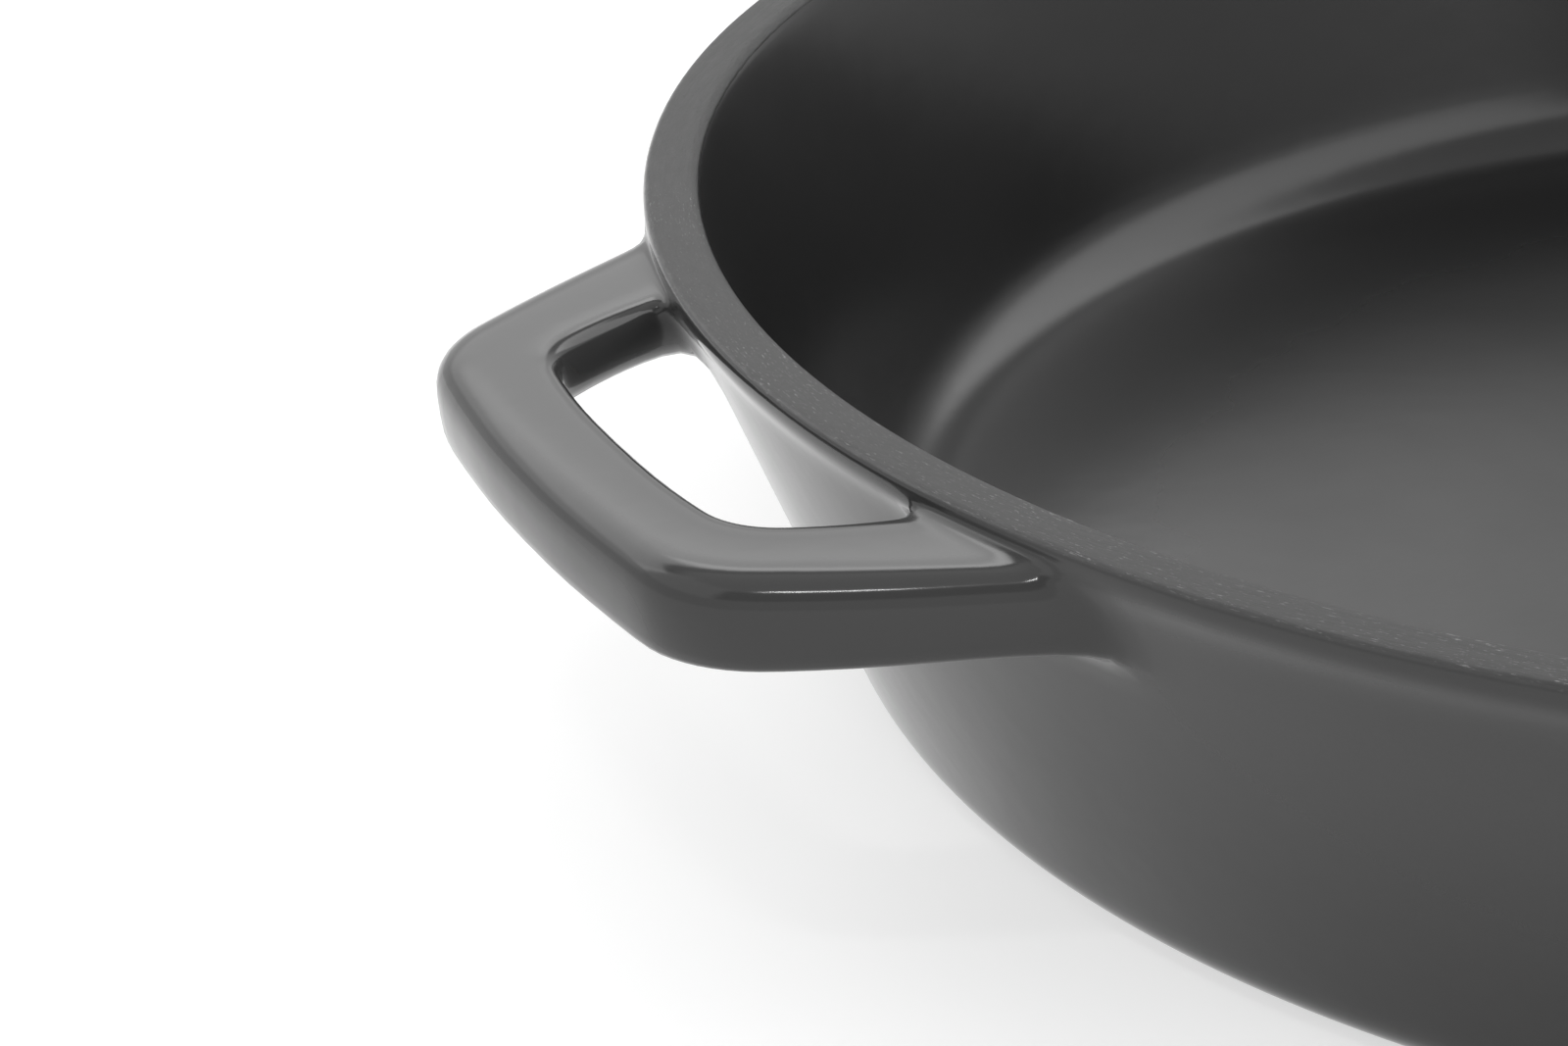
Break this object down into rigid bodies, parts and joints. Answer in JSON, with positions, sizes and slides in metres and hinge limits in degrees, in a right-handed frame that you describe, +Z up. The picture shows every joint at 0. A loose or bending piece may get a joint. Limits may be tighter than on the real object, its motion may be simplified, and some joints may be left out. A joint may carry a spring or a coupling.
{
  "type": "dutch oven",
  "caption": "Round low enamelled cast iron casserole with flared walls, two flat loop handles, and a domed lid with a metal knob.",
  "frame": {"origin": "centre of the pot's flat base, on the face it stands on, on the pot's axis", "axes": "+Z up along the pot's axis, X along the line through the two loop handles with the lid laid beside the +X handle, Y across the pot"},
  "size_m": [0.6867, 0.3104, 0.059],
  "materials": {
    "grey_enamel": "graphite grey enamel on cast iron outside and on the handles, dark matte enamel inside",
    "lid_enamel": "graphite grey enamel on cast iron, dark matte enamel underneath",
    "silicone": "matte black silicone rubber",
    "collar_steel": "brushed stainless steel",
    "knob_steel": "brushed stainless steel with a turned top",
    "brass_insert": "plain turned brass",
    "screw_steel": "plain stainless steel",
    "washer_steel": "plain stainless steel",
    "spring_steel": "plain spring steel"
  },
  "bodies": {
    "pot": {"pot_casting": "grey_enamel"},
    "lid": {"lid_casting": "lid_enamel", "knob_gasket": "silicone", "knob_collar": "collar_steel", "lid_knob": "knob_steel", "knob_insert": "brass_insert", "knob_screw": "screw_steel", "screw_washer": "washer_steel", "lock_washer": "spring_steel"}
  },
  "joints": [
    {"name": "lid_turn", "type": "hinge", "parent": "pot", "child": "lid", "pos_m": [0.175, 0, 0.05515], "axis": [0, -1, 0], "range_deg": [0, 180]}
  ]
}
